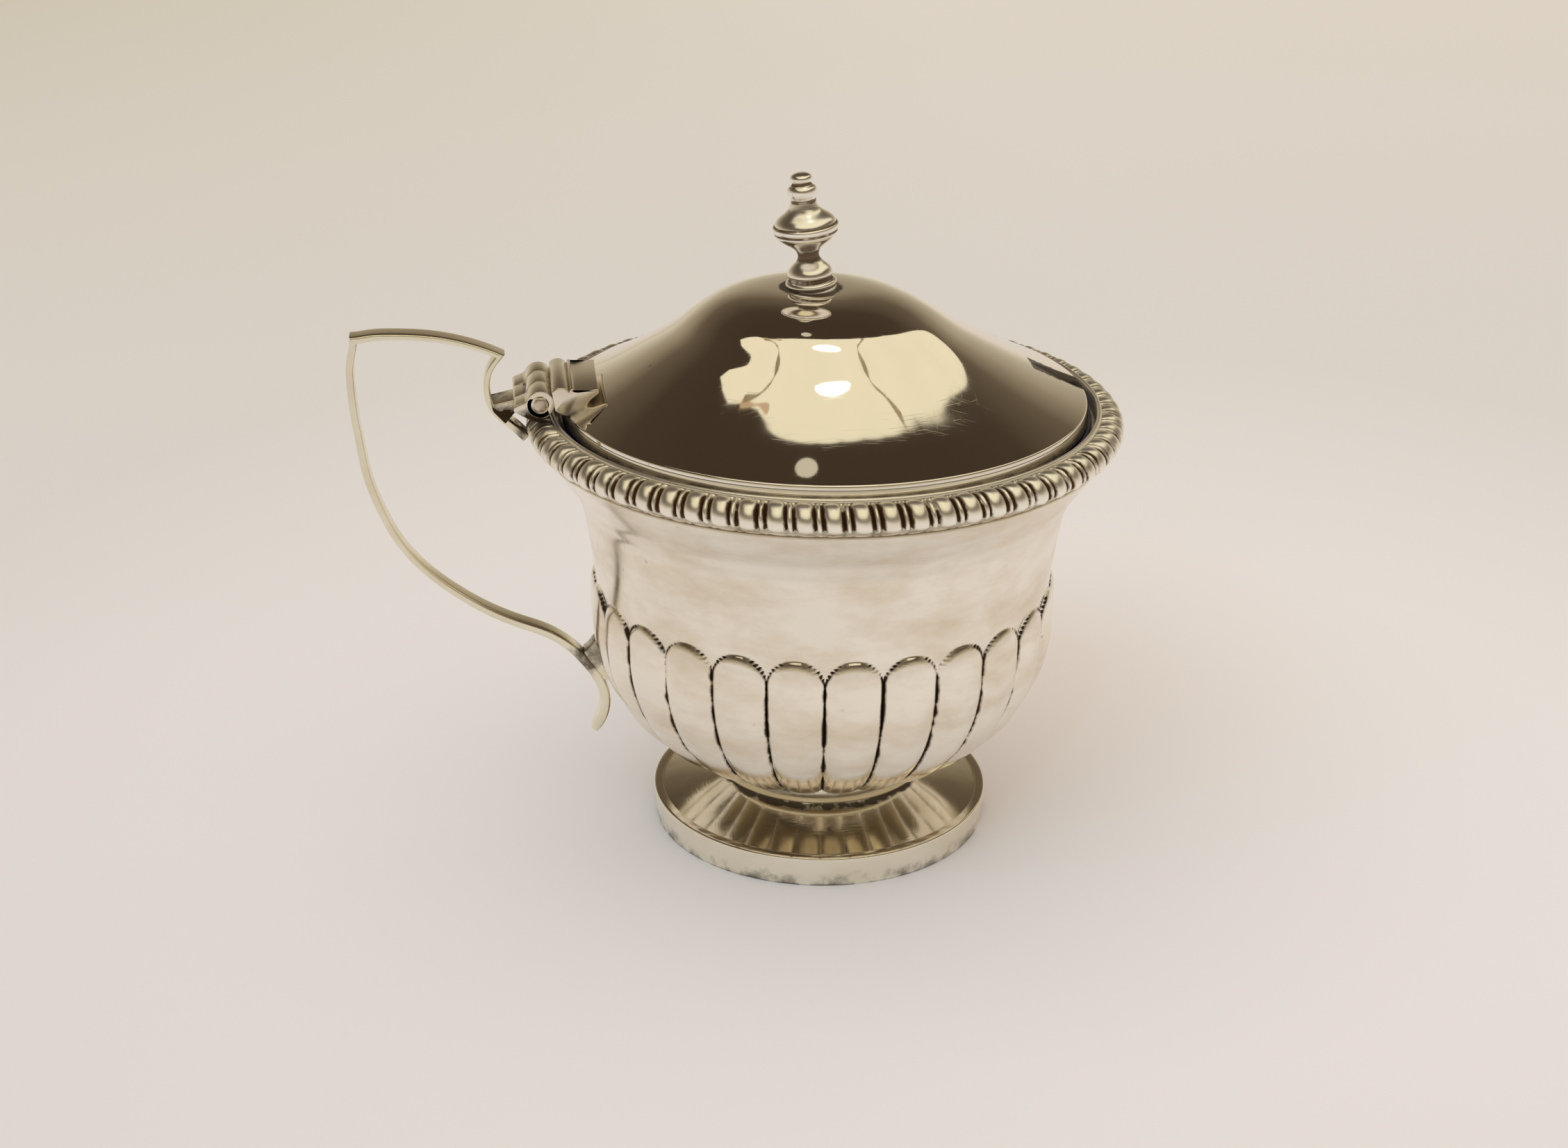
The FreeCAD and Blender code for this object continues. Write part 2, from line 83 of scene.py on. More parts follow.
def softened(corners, radius, steps=5, closed=True):
    """Straight sides between corners with each corner rounded: a short curve that starts
    and ends on the sides at the same distance from the corner and leans toward it."""
    c = np.asarray(corners, float)
    r = np.broadcast_to(np.asarray(radius, float), (len(c),))
    out = []
    u = np.linspace(0, 1, steps)[:, None]
    for i in range(len(c)):
        before, here, after = c[i - 1], c[i], c[(i + 1) % len(c)]
        if not closed and i in (0, len(c) - 1):
            out.append(here[None])
            continue
        la, lb = np.linalg.norm(before - here), np.linalg.norm(after - here)
        k = min(r[i], 0.45 * la, 0.45 * lb)
        a = here + (before - here) / la * k
        b = here + (after - here) / lb * k
        out.append((1 - u) ** 2 * a + 2 * u * (1 - u) * here + u ** 2 * b)
    return np.concatenate(out)


def outward(points):
    """The direction square to an outline at each point, on the right of the way it runs: the
    slope between a point's two neighbours, turned by a right angle."""
    d = np.gradient(points, axis=0)
    d /= np.linalg.norm(d, axis=1)[:, None]
    return np.stack([d[:, 1], -d[:, 0]], 1)


def inset(points, distance):
    """An outline moved to its left by distance: each point goes along the line square to its
    two neighbours."""
    p = np.asarray(points, float)
    return p - distance * outward(p)


# Meshes

def placed(name, data):
    """A new object in the scene that holds a mesh, a lamp or a camera."""
    ob = bpy.data.objects.new(name, data)
    bpy.context.scene.collection.objects.link(ob)
    return ob


def mesh_piece(name, verts, faces, body, node, marks=None, sharp=40):
    """Put points (in mm) and faces into a mesh, smooth with crisp edges past sharp degrees.
    The mark called deep says how dark each point is painted, from 0 to 1: tarnish in hollows
    and joints, and painted shade under and between some parts."""
    me = bpy.data.meshes.new(name)
    me.from_pydata(np.asarray(verts) * MM, [], faces)
    me.validate()
    me.update()
    me.shade_smooth()
    me.set_sharp_from_angle(angle=math.radians(sharp))
    for key, values in (marks or {}).items():
        me.attributes.new(key, "FLOAT", "POINT").data.foreach_set(
            "value", np.asarray(values, np.float32).ravel())
    ob = placed(name, me)
    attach(ob, body)
    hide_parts(node)
    return ob


def quads(rows, cols, close_rows=False, close_cols=True):
    """Four-sided faces between neighbouring rows and columns of a grid of points."""
    i = np.arange(rows if close_rows else rows - 1)
    j = np.arange(cols if close_cols else cols - 1)
    i, j = np.meshgrid(i, j, indexing="ij")
    i2, j2 = (i + 1) % rows, (j + 1) % cols
    f = np.stack([i * cols + j, i * cols + j2, i2 * cols + j2, i2 * cols + j], -1)
    return f.reshape(-1, 4).tolist()


def fans(rows, cols):
    """Triangles from the first and the last row of a grid to two poles that come after it."""
    j = np.arange(cols)
    k = (j + 1) % cols
    top, pole = (rows - 1) * cols, rows * cols
    low = np.stack([np.full(cols, pole), k, j], 1).tolist()
    return low + np.stack([top + j, top + k, np.full(cols, pole + 1)], 1).tolist()


def round_points(profile, angles):
    """Every outline point (radius, height) turned to every angle about the upright axis."""
    r, z = profile[:, 0][:, None], profile[:, 1][:, None]
    return np.stack([r * np.cos(angles), r * np.sin(angles), z + 0 * angles], -1)


def pushed(section, count, angles, push):
    """A section turned to every angle, with its first count rows pushed out, square to the
    section, by the amount given for each row and angle."""
    out = outward(section[:count])
    r, h = (np.repeat(section[:, i][:, None], push.shape[1], 1) for i in (0, 1))
    r[:count] += push * out[:, 0][:, None]
    h[:count] += push * out[:, 1][:, None]
    return np.stack([r * np.cos(angles), r * np.sin(angles), h], -1).reshape(-1, 3)


def distances(points):
    """How far along a line each of its points lies: the sum of the steps before it."""
    return np.concatenate([[0], np.cumsum(np.linalg.norm(np.diff(points, axis=0), axis=1))])


def turned(profile, count=256, closed=True):
    """Points and faces of a turned shape. The outline runs with the metal on its left
    when closed; an open outline starts and ends on the axis and is closed by poles."""
    angles = np.linspace(0, 2 * np.pi, count, endpoint=False)
    if closed:
        grid = round_points(profile, angles)
        return grid.reshape(-1, 3), quads(len(profile), count, close_rows=True)
    inner = profile[1:-1]
    grid = round_points(inner, angles).reshape(-1, 3)
    ends = [(0, 0, profile[0, 1]), (0, 0, profile[-1, 1])]
    n = len(inner)
    return np.concatenate([grid, ends]), quads(n, count) + fans(n, count)


def bar(outline, y0, y1, soft=0.12, steps=4):
    """A straight moulding along Y with softened ends: the outline is drawn in by a quarter
    circle near each end and closed there with a flat face."""
    p = np.asarray(outline, float)
    area = np.sum(p[:, 0] * np.roll(p[:, 1], -1) - np.roll(p[:, 0], -1) * p[:, 1])
    p = p[::-1] if area > 0 else p
    d = np.roll(p, -1, 0) - np.roll(p, 1, 0)
    d /= np.linalg.norm(d, axis=1)[:, None]
    normal = np.stack([-d[:, 1], d[:, 0]], 1)
    a = np.linspace(0, np.pi / 2, steps)
    rows = [(y0 + soft * (1 - np.cos(t)), soft * (1 - np.sin(t))) for t in a]
    rows += [(y1 - (y - y0), s) for y, s in rows[::-1]]
    n = len(p)
    grid = []
    for y, s in rows:
        q = p - normal * s
        grid.append(np.stack([q[:, 0], np.full(n, y), q[:, 1]], 1))
    faces = quads(len(rows), n)
    faces.append(list(range(n))[::-1])
    last = (len(rows) - 1) * n
    faces.append([last + i for i in range(n)])
    return np.concatenate(grid), faces


def tube_along_y(x, z, r_out, r_in, y0, y1, count=48, soft=0.1):
    """A short pipe along Y: a softened rectangle of wall carried round its centre line."""
    wall = softened([(r_in, y0), (r_out, y0), (r_out, y1), (r_in, y1)], soft, 4)
    a = np.linspace(0, 2 * np.pi, count, endpoint=False)
    r, y = wall[:, 0][:, None], wall[:, 1][:, None]
    grid = np.stack([x + r * np.sin(a), y + 0 * a, z + r * np.cos(a)], -1)
    return grid.reshape(-1, 3), quads(len(wall), count, close_rows=True)


def together(*parts):
    """Several sets of points and faces as one."""
    verts, faces, start = [], [], 0
    for v, f in parts:
        verts.append(v)
        faces += [[i + start for i in q] for q in f]
        start += len(v)
    return np.concatenate(verts), faces


# Bowl, in mm

WALL = 0.9
ARC_X, ARC_Z, ARC_R = 8.0, 27.0, 18.4            # centre and radius of the lower bowl's arc
BOWL_BASE = 8.9
LIP_R, LIP_Z = 32.6, 48.9
NECK_LOW_Z = 33.0
NECK = [(26.4, ARC_Z), (26.7, NECK_LOW_Z), (27.8, 40.3), (28.3, 42.3), (30.1, 45.1),
        (LIP_R, LIP_Z)]
NECK_RINGS = [(42.5, 0.55, 0.13), (41.2, 0.7, -0.05)]       # height, spread and push
LOBES = 26
HALF_LOBE = 180 / LOBES                          # degrees
LOBE_TOP = 31.6
LOBE_TOP_R = 26.6
LOBE_COLUMNS = 18
LOBE_SWELL = 0.3                                 # height of a lobe over half its width
LOBE_BLUNT = 0.55                                # under 1 fills out a lobe's sides
LOBE_SET_IN = 0.14                               # depth of the lobes' valleys below the neck
LOBE_FADE = 1.4                                  # height over which the lobes rise at the base


def bowl_outline(off):
    """The bowl's section from the flat base out and up: an arc, then the flaring neck."""
    r = ARC_R - off
    low = math.degrees(math.asin((ARC_Z - BOWL_BASE - off) / r))
    below = arc((ARC_X, ARC_Z), r, -low, 0, 76)
    above = spline(NECK, 400, first=(0, 1))
    if off:
        above = inset(above, off)
    return below, above


def bowl_piece():
    """The bowl: round outline times angle, pushed out over the tongue-shaped lobes. Across a
    lobe the push follows a blunt half ellipse of the distance from the lobe's edge, with a
    sharp valley between neighbours; each lobe ends upward in a half circle."""
    across = np.sin(np.linspace(-1, 1, LOBE_COLUMNS, endpoint=False) * np.pi / 2)
    middle = np.arange(LOBES)[:, None] * 2 * HALF_LOBE + HALF_LOBE
    angles = np.radians((middle + HALF_LOBE * across).ravel())
    across = np.tile(across, LOBES)[None, :]

    # Rows: close together over the lobes' tops, wider on the plain neck and inside
    below, above = bowl_outline(0)
    z = above[:, 1]
    tops = above[(z > ARC_Z) & (z < NECK_LOW_Z)]
    tops = tops[:: max(1, len(tops) // 44)]
    plain = above[z >= NECK_LOW_Z]
    plain = plain[:: max(1, len(plain) // 32)]
    lip = arc((LIP_R - WALL / 2, LIP_Z - WALL / 2), WALL / 2, 0, 180, 8)
    lip[:, 1] = np.minimum(lip[:, 1], LIP_Z)
    below_in, above_in = bowl_outline(WALL)
    inner = np.concatenate([above_in[::-1][::22], below_in[::-1][::8]])
    outer = np.concatenate([below, tops, plain])
    profile = np.concatenate([outer, lip, inner])
    n, rows, cols = len(outer), len(profile), len(angles)

    # down: distance below the lobes' tops; edge: distance in from the nearest lobe's edge
    run = distances(outer)
    down = (np.interp(LOBE_TOP, outer[:, 1], run) - run)[:, None]
    half = outer[:, 0][:, None] * np.radians(HALF_LOBE)
    half_top = LOBE_TOP_R * np.radians(HALF_LOBE)
    edge = np.where(down > half_top, half * (1 - np.abs(across)),
                    half_top - np.hypot(across * half_top, np.minimum(down - half_top, 0)))
    share = np.clip(edge / np.minimum(half, half_top), 0, 1)
    height = outer[:, 1][:, None]
    fade = np.clip((height - BOWL_BASE) / LOBE_FADE, 0, 1)
    swell = LOBE_SWELL * half * (share * (2 - share)) ** LOBE_BLUNT
    swell = swell * fade - LOBE_SET_IN * np.clip(down / 3, 0, 1) * fade
    for at, spread, push in NECK_RINGS:
        swell = swell + push * np.exp(-((height - at) / spread) ** 2)

    # Tarnish: in the valleys, and by uneven amounts round the tops
    tarnish_and_shade = np.zeros((rows, cols))
    valley = np.exp(-np.clip(edge, 0, None) / 0.2) * (edge > -0.05)
    uneven = 0.55 + 0.45 * np.sin(2.3 * np.arange(LOBES) ** 1.3).repeat(LOBE_COLUMNS)[None, :]
    crown = np.exp(-np.abs(edge) / 0.24) * np.exp(-((down - 2.0) / 1.8) ** 2) * uneven
    tarnish_and_shade[:n] = np.maximum(valley * np.clip(down / 0.5, 0, 1) * fade, crown)
    tarnish_and_shade[n + len(lip):] = 0.2
    marks = {"tarnish_and_shade": np.concatenate([tarnish_and_shade.ravel(), [0, 0.3]])}
    poles = np.array([(0, 0, BOWL_BASE), (0, 0, BOWL_BASE + WALL)])
    return mesh_piece("bowl_raised", np.concatenate([pushed(profile, n, angles, swell), poles]),
                      quads(rows, cols) + fans(rows, cols), "pot", "bowl",
                      marks, sharp=75)


# Border and wire

BEADS = 70
BEAD_UNIT = 2 * np.pi / BEADS
BEAD_DEPTH = 0.55           # depth between the beads
BEAD_SLANT = -0.16          # how far the beads slant, as a share of one unit
# A wide and a thin bead make one unit. Each has its middle, half width and height, how many
# points cross it, and where the valley after it lies, in shares of the unit.
BEAD_PAIR = [(0.34, 0.325, 1.0, 9, 0.70), (0.835, 0.10, 0.8, 5, 0.975)]
BORDER_IN = 30.8
BORDER_TOP = 52.0
BEAD_OUTLINE = [(32.8, 49.28), (33.5, 49.36), (33.97, 50.0), (33.9, 50.85), (33.2, 51.7),
                (32.3, 52.08), (31.42, BORDER_TOP)]
BORDER_INSIDE = [(31.35, 51.95), (BORDER_IN, 51.95), (BORDER_IN, 50.3), (29.4, 50.3),
                 (29.4, 49.5), (31.7, 49.5), (31.7, LIP_Z), (LIP_R, LIP_Z)]


def border_piece():
    """The border: a closed section times angle. Its rounded outside is pushed in between
    the beads; across one unit the height is a wide half ellipse, a valley, a narrow half
    ellipse and another valley."""
    unit = []
    for middle, half, high, count, valley in BEAD_PAIR:
        t = np.radians(np.linspace(-90, 90, count))
        unit.append(np.stack([middle + half * np.sin(t), high * np.cos(t)], 1))
        unit.append([(valley, -0.25)])
    unit = np.concatenate(unit)
    frac = (np.arange(BEADS)[:, None] + unit[:, 0]).ravel()
    height = np.tile(unit[:, 1], BEADS)
    bead = spline(BEAD_OUTLINE, 40, first=(1, -0.1), last=(-1, -0.2))
    rest = softened(BORDER_INSIDE, 0.08, 3, closed=False)
    section = np.concatenate([bead, rest])
    n = len(bead)
    v = np.linspace(0, 1, n)[:, None]
    depth = BEAD_DEPTH * np.clip(np.sin(np.pi * (v * 0.98 + 0.01)), 0, 1) ** 0.35
    push = depth * (np.clip(height[None, :], -0.3, 1) - 1)
    rows, cols = len(section), len(frac)
    ang = np.repeat((frac * BEAD_UNIT)[None, :], rows, 0)
    ang[:n] += BEAD_SLANT * (v - 0.35) * BEAD_UNIT
    tarnish_and_shade = np.zeros((rows, cols))
    tarnish_and_shade[:n] = np.clip(-push / 0.5, 0, 1) ** 1.2
    tarnish_and_shade[n + 3:] = 0.3
    grid = pushed(section, n, ang, push)
    return mesh_piece("border_of_beads", grid, quads(rows, cols, close_rows=True), "pot",
                      "gadroon_border", {"tarnish_and_shade": tarnish_and_shade.ravel()}, sharp=80)


def rim_wire_piece():
    """The plain wire on the border: a flattened half circle turned about the axis."""
    a = np.radians(np.linspace(0, 180, 18))
    half, high = 0.3, 0.35
    top = np.stack([BORDER_IN + half + half * np.cos(a), BORDER_TOP + high * np.sin(a)], 1)
    foot = [(BORDER_IN, BORDER_TOP - 0.03), (BORDER_IN + 2 * half, BORDER_TOP - 0.03)]
    v, f = turned(np.concatenate([top, foot]), 320)
    return mesh_piece("rim_wire_round", v, f, "pot", "rim_wire",
                      {"tarnish_and_shade": np.zeros(len(v))}, sharp=60)


# Foot

STEM_R = 11.7
STEM_IN = 10.9
STEM_Z = 6.4                # where the spread foot turns up into the stem
BAND_R = 20.1
BAND_IN = 19.0
BAND_TOP = 3.7


def foot_pieces():
    """Collar, spread foot and upright band, each a closed outline turned about the axis."""
    collar = softened([(STEM_R, 6.7), (12.7, 6.7), (12.75, 9.35), (12.2, 9.15), (STEM_R, 9.0)],
                      [0.05, 0.35, 0.1, 0.1, 0.05], 6)
    v, f = turned(collar, 256)
    mesh_piece("collar_ring", v, f, "pot", "foot_collar",
               {"tarnish_and_shade": np.clip((v[:, 2] - 9.0) / 0.3, 0, 1)})
    outer = spline([(STEM_R, STEM_Z), (12.6, 5.5), (15.2, 4.5), (BAND_IN, 3.5)], 40,
                   first=(0, -1))
    inner = spline([(BAND_IN, 2.7), (14.9, 3.65), (11.9, 4.9), (STEM_IN, STEM_Z)], 30,
                   last=(0, 1))
    section = np.concatenate([[(STEM_R, BOWL_BASE)], outer, inner, [(STEM_IN, BOWL_BASE)]])
    section = section[::-1]
    v, f = turned(section, 256)
    tarnish_and_shade = np.clip(1 - np.abs(np.hypot(v[:, 0], v[:, 1]) - 11.9) / 0.7, 0, 1)
    mesh_piece("foot_spread", v, f, "pot", "foot", {"tarnish_and_shade": tarnish_and_shade})
    band = softened([(BAND_IN, 0), (19.85, 0), (BAND_R, BAND_TOP), (BAND_IN, 3.75)],
                    [0.05, 0.2, 0.35, 0.05], 7)
    v, f = turned(band, 320)
    # The band's lowest 0.35 mm, where it stands on the table, is darkened: painted contact
    # shade
    mesh_piece("band_upright", v, f, "pot", "foot_band",
               {"tarnish_and_shade": np.clip(1 - v[:, 2] / 0.35, 0, 1) * 0.8})


# Handle: (x, z) points

THUMB = [(-34.0, 49.1), (-35.3, 50.4), (-36.8, 51.7), (-37.6, 52.7), (-38.1, 54.2),
         (-38.15, 55.6), (-37.7, 57.3), (-36.6, 58.8)]
BAR = [(-36.6, 58.8), (-39.4, 59.95), (-42.5, 60.8), (-45.5, 61.25), (-48.5, 61.4),
       (-51.0, 61.3), (-52.5, 61.1)]
SWEEP = [(-52.5, 61.1), (-52.95, 58.7), (-53.1, 55.6), (-52.9, 52.3), (-52.5, 49.0),
         (-52.0, 45.4), (-50.8, 41.3), (-48.9, 37.1), (-46.3, 33.6), (-42.8, 30.45),
         (-39.0, 27.85), (-35.4, 26.05), (-32.3, 24.7), (-29.7, 22.8), (-27.8, 20.6),
         (-26.3, 18.1), (-25.8, 15.9), (-26.2, 13.6), (-27.1, 11.9)]
PAD = [(-28.3, 22.2), (-27.7, 22.6), (-27.0, 23.6), (-25.6, 24.2), (-24.6, 21.6),
       (-23.9, 18.8), (-26.2, 18.3)]


def handle_piece():
    """The strap: a rounded rectangle carried along a bent line in the XZ plane. At the two
    sharp bends the section stands on the line that halves the angle and is stretched to
    keep the strap's thickness. A small block stands for the solder at the bowl."""
    thumb_line = spline(THUMB, 48, first=(-1, 1), last=(0.65, 0.76))
    bar_line = spline(BAR, 40, first=(-0.9, 0.45), last=(-1, -0.05))
    sweep_line = spline(SWEEP, 130, first=(0.0, -1))
    path = np.concatenate([thumb_line, bar_line[1:], sweep_line[1:]])
    step = np.diff(path, axis=0)
    step /= np.linalg.norm(step, axis=1)[:, None]
    before = np.concatenate([step[:1], step])
    after = np.concatenate([step, step[-1:]])
    mid = before + after
    mid /= np.linalg.norm(mid, axis=1)[:, None]
    square = np.stack([-mid[:, 1], mid[:, 0]], 1)
    stretch = 1 / np.maximum(np.sum(mid * before, axis=1), 0.35)

    # Thickness and half width against the distance along the strap
    along = distances(path)
    end = along[-1]
    thumb = along[len(thumb_line) - 1]
    corner = along[len(thumb_line) + len(bar_line) - 2]
    thick = np.interp(along, [0, 4, thumb - 3, thumb, corner - 6, corner, corner + 16,
                              corner + 30, end - 12, end - 4, end - 1, end],
                      [1.0, 0.9, 0.72, 0.7, 0.75, 0.9, 0.95, 0.85, 1.1, 1.3, 1.15, 0.9])
    half = np.interp(along, [0, thumb, corner, corner + 14, end - 1.5, end],
                     [1.35, 1.35, 1.3, 1.2, 1.2, 1.0])

    turn = np.linspace(0, 2 * np.pi, 36, endpoint=False)
    boxy = 0.42
    wide, high = (np.sign(w) * np.abs(w) ** boxy for w in (np.cos(turn), np.sin(turn)))
    out = (thick / 2 * stretch)[:, None] * high[None, :]
    grid = np.stack([path[:, 0][:, None] + out * square[:, 0][:, None],
                     half[:, None] * wide[None, :],
                     path[:, 1][:, None] + out * square[:, 1][:, None]], -1)
    rows, cols = grid.shape[:2]
    faces = quads(rows, cols)
    faces.append(list(range(cols))[::-1])
    faces.append([(rows - 1) * cols + i for i in range(cols)])
    pad = bar(softened(PAD, 0.3, 5), -1.05, 1.05, 0.2)
    v, f = together((grid.reshape(-1, 3), faces), pad)

    joint = np.exp(-((along - 1.0) / 2.0) ** 2) + np.exp(-((along - (end - 10)) / 3.5) ** 2)
    tarnish_and_shade = np.repeat(joint[:, None] * 0.5, cols, 1).ravel()
    tarnish_and_shade = np.concatenate([tarnish_and_shade, np.full(len(pad[0]), 0.35)])
    return mesh_piece("handle_strap", v, f, "pot", "handle",
                      {"tarnish_and_shade": tarnish_and_shade}, sharp=35)


# Hinge: (x, z) outlines are given from the pin's centre

PIN = np.array([-32.35, 54.45])                  # the pin's centre
HALF = 5.3                                       # half the hinge's length
MID = 1.8                                        # half the lid's knuckle
KNUCKLE_R = 1.55
KNUCKLE_GAP = 0.15
RIDGE_R = 1.2
RIDGE_AT = (2.25, 0.7)
POT_BLOCK = [(-0.1, -2.1), (1.1, -1.25), (0.6, 0.8), (-1.2, 0.85), (-1.68, 0.3),
             (-2.85, -0.15), (-3.0, -0.7), (-1.1, -1.8)]
POT_BACK = [(-1.75, -1.3), (-1.75, 0.2), (-2.85, -0.15), (-3.0, -0.7)]
POT_WEB = [(-2.3, -0.5), (-3.0, -0.5), (-5.4, -1.05), (-5.2, -1.85), (-3.9, -3.3), (-2.5, -1.6)]
LID_BLOCK = [(3.2, 1.4), (3.35, 1.72), (3.62, 1.75), (3.72, 1.5), (4.1, 1.42), (6.4, 1.62),
             (6.45, 1.2), (5.3, 0.2), (4.6, -1.2), (4.05, -2.2), (2.6, -1.4), (1.5, -0.75)]
LID_TONGUE = [(1.1, 0.8), (2.0, 0.8), (2.0, -0.6), (1.1, -0.4)]
PIN_HALF = [(0, 5.42), (0.45, 5.4), (0.78, 5.3), (0.88, 5.1)]        # (radius, along the pin)


def near_pin(points, radius, steps):
    """An outline given as distances from the pin's centre, set in place with soft corners."""
    return softened(PIN + np.array(points), radius, steps)


def hinge_pieces():
    """Both leaves: mouldings carried along Y, with pipes round the pin's line. The pin is an
    outline turned about that line."""
    ends = ((-HALF, -MID - KNUCKLE_GAP), (MID + KNUCKLE_GAP, HALF))
    block = near_pin(POT_BLOCK, [0.2, 0.2, 0.1, 0.1, 0.12, 0.3, 0.25, 0.2], 5)
    back = near_pin(POT_BACK, [0.05, 0.08, 0.3, 0.25], 5)
    parts = [bar(block, y0, y1, 0.12) for y0, y1 in ends]
    parts.append(bar(back, -MID - 0.3, MID + 0.3, 0.02))
    parts.append(bar(near_pin(POT_WEB, 0.2, 4), -2.0, 2.0, 0.15))
    parts += [tube_along_y(PIN[0], PIN[1], KNUCKLE_R, 0.92, y0, y1) for y0, y1 in ends]
    v, f = together(*parts)
    # The pot's leaf is painted darker the further it lies below the pin: painted shade under
    # the hinge
    tarnish_and_shade = np.clip((54.2 - v[:, 2]) / 1.2, 0, 1) * 0.75
    mesh_piece("hinge_half_on_pot", v, f, "pot", "hinge_leaf_pot",
               {"tarnish_and_shade": tarnish_and_shade}, sharp=38)

    turn = np.radians(np.linspace(200, 46, 18))
    ridge = RIDGE_AT + RIDGE_R * np.stack([np.cos(turn), np.sin(turn)], 1)
    clear_of_knuckle = np.hypot(ridge[:, 0], ridge[:, 1]) > 1.72
    rest = near_pin(LID_BLOCK, [0.05, 0.1, 0.1, 0.05, 0.15, 0.12, 0.1, 0.2, 0.2, 0.25, 0.2,
                                0.15], 4)
    shape = np.concatenate([PIN + ridge[clear_of_knuckle], rest])
    tongue = near_pin(LID_TONGUE, 0.1, 3)
    v, f = together(bar(shape, -HALF, HALF, 0.13),
                    tube_along_y(PIN[0], PIN[1], KNUCKLE_R, 0.95, -MID, MID),
                    bar(tongue, -MID + 0.05, MID - 0.05, 0.05))
    # The lid's leaf is painted darker below the pin: painted shade under the hinge
    tarnish_and_shade = np.clip((54.0 - v[:, 2]) / 1.0, 0, 1) * 0.6
    mesh_piece("hinge_half_on_lid", v, f, "lid", "hinge_leaf_lid",
               {"tarnish_and_shade": tarnish_and_shade}, sharp=38)

    half = np.array(PIN_HALF)
    v, f = turned(np.concatenate([half * (1, -1), half[::-1]]), 40, closed=False)
    v = np.stack([v[:, 0] + PIN[0], v[:, 2], -v[:, 1] + PIN[1]], 1)
    mesh_piece("pin_wire", v, f, "pot", "hinge_pin",
               {"tarnish_and_shade": np.zeros(len(v))}, sharp=50)


# Lid

LID_EDGE = (29.7, 53.1)
LID_TOP = 65.5
LID_SHEET = 0.8
LID_LOW = 52.62             # underside of the lid's edge
BEZEL_IN = 28.0
LID = [LID_EDGE, (26.2, 54.75), (22.5, 56.75), (18.9, 58.85), (16.4, 60.5), (14.4, 62.0),
       (12.3, 63.4), (9.4, 64.7), (5.5, 65.4), (3.0, LID_TOP)]
LID_ENDS = {"first": (-0.92, 0.4), "last": (-1, 0)}
DOME_LEAN = 1.7             # the crown's shift toward the hinge
LEAN = DOME_LEAN / (LID_TOP - LID_EDGE[1])
SLOT_HALF = 1.95
SLOT = [(24.2, 0.0), (24.9, 0.75), (25.9, 1.25), (28.2, SLOT_HALF), (31.2, SLOT_HALF)]
SLOT_TIP = SLOT[0][0]


def above_edge(z):
    """How far the dome has leaned toward the hinge at height z."""
    return LEAN * (z - LID_EDGE[1])


def slot_angle(r):
    """Half the angle of the spoon slot at radius r; nothing inside its tip."""
    line = spline(SLOT, 120)
    y = np.interp(r, line[:, 0], line[:, 1])
    return np.where(r > SLOT_TIP, np.arcsin(np.clip(y / np.maximum(r, 1), 0, 1)), 0.0)


def lid_piece():
    """The lid: outline times angle, where the angle starts and ends on the slot's sides.
    Inside the slot's tip the first and last columns are the same, so the dome closes. The
    dome is then sheared toward the hinge."""
    edge_in, edge_top_r = 27.9, 29.3
    edge = softened([(edge_in, LID_LOW), (29.78, LID_LOW), (29.68, 53.12), (edge_top_r, 53.26)],
                    [0.1, 0.1, 0.16, 0.1], 6, closed=False)
    edge = edge[1:-1]
    top = spline(LID, 170, **LID_ENDS)
    top = top[top[:, 0] < edge_top_r]
    under = inset(spline(LID, 90, **LID_ENDS), LID_SHEET)
    under = under[(under[:, 0] < edge_in) & (under[:, 0] > 0.3)][::-1]
    section = np.concatenate([under, [(BEZEL_IN, LID_LOW)], edge, top[:-1]])
    rows, cols = len(section), 361

    # Columns lie a little closer together near the slot
    turn = np.linspace(0, 2 * np.pi, cols)
    share = (turn - 0.12 * np.sin(turn)) / (2 * np.pi)
    half = slot_angle(section[:, 0])[:, None]
    grid = round_points(section, half + share[None, :] * (2 * np.pi - 2 * half))
    index = np.arange(rows * cols).reshape(rows, cols)
    shut = section[:, 0] <= SLOT_TIP
    index[shut, -1] = index[shut, 0]
    faces = np.stack([index[:-1, :-1], index[:-1, 1:], index[1:, 1:], index[1:, :-1]], -1)
    faces = faces.reshape(-1, 4).tolist()
    poles = np.array([(0, 0, LID_TOP - LID_SHEET), (0, 0, LID_TOP)])
    low_pole, high_pole = rows * cols, rows * cols + 1
    faces += [[low_pole, index[0, j + 1], index[0, j]] for j in range(cols - 1)]
    faces += [[index[-1, j], index[-1, j + 1], high_pole] for j in range(cols - 1)]

    # The slot's two sides
    open_rows = np.where(~shut)[0]
    first, last = open_rows[0] - 1, open_rows[-1] + 1
    faces.append(index[first:last + 1, 0].tolist())
    faces.append(index[first:last + 1, -1][::-1].tolist())
    verts = np.concatenate([grid.reshape(-1, 3), poles])
    verts[:, 0] -= np.maximum(above_edge(verts[:, 2]), 0)

    # Points that no face uses are dropped
    used = np.unique(np.concatenate([np.ravel(f) for f in faces]))
    back = np.full(len(verts), -1)
    back[used] = np.arange(len(used))
    faces = [[int(back[i]) for i in f] for f in faces]
    verts = verts[used]

    # Tarnish round the finial's base; a little darker on the underside; the slot's sides fully
    # dark as painted shade
    x, y, z = verts.T
    r = np.hypot(x + above_edge(z), y)
    crown = np.exp(-((r - 3.1) / 0.5) ** 2) * (z > LID_TOP - 0.5)
    inside = (z < np.interp(r, *np.array(LID)[::-1].T) - 0.45) * 0.2
    # Painted shade: the slot's sides are made fully dark
    slot = (np.abs(y) < SLOT_HALF + 0.1) & (r > SLOT_TIP - 0.2) & (x > 0)
    tarnish_and_shade = np.maximum(np.maximum(crown, inside), slot * 1.0)
    return mesh_piece("lid_domed", verts, faces, "lid", "lid", {"tarnish_and_shade": tarnish_and_shade},
                      sharp=50)


